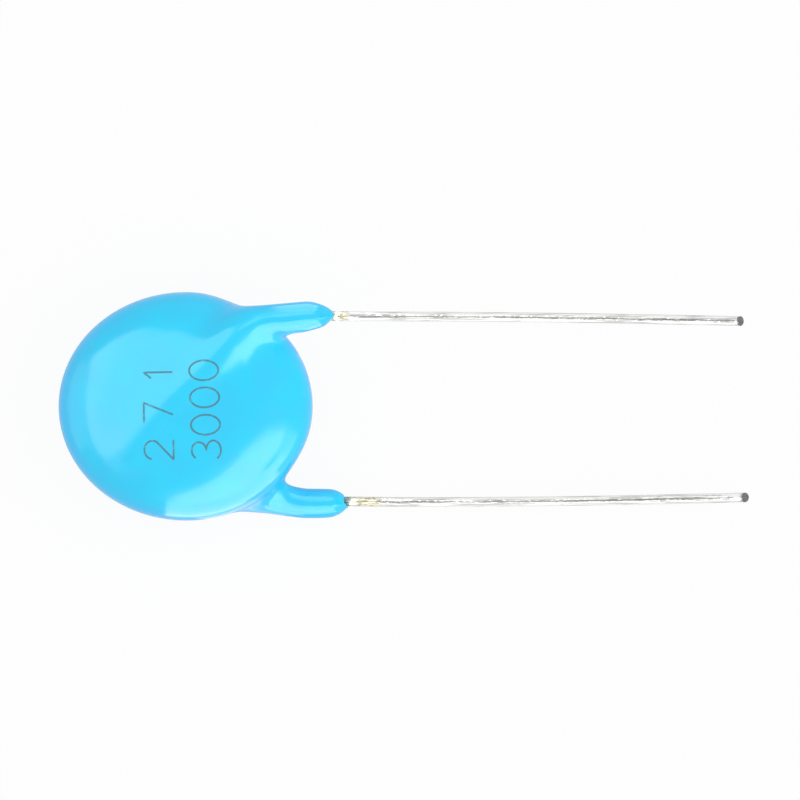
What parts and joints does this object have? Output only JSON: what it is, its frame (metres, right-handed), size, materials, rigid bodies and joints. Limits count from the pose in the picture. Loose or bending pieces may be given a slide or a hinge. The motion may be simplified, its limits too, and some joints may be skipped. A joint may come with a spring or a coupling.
{
  "type": "ceramic disc capacitor",
  "caption": "Radial-lead ceramic disc capacitor: flat oval body dip coated in blue epoxy, with two straight tinned wire leads.",
  "frame": {"origin": "on the resting plane, under the centre of the ceramic disc", "axes": "+X runs along the leads from the body to their cut ends, +Y points to the front lead's side, +Z leaves the front face"},
  "size_m": [0.0462, 0.0152, 0.0071],
  "materials": {
    "ceramic": "matte fired ceramic",
    "fired_silver": "matte fired silver",
    "solder": "smooth solder",
    "tinned_wire": "tinned, with draw lines",
    "blue_epoxy": "glossy dip-coated epoxy"
  },
  "bodies": {
    "root": {"ceramic_disc": "ceramic", "electrode_front": "fired_silver", "electrode_rear": "fired_silver", "solder_front": "solder", "solder_rear": "solder", "lead_front": "tinned_wire", "lead_rear": "tinned_wire", "epoxy_coating": "blue_epoxy"}
  },
  "joints": []
}
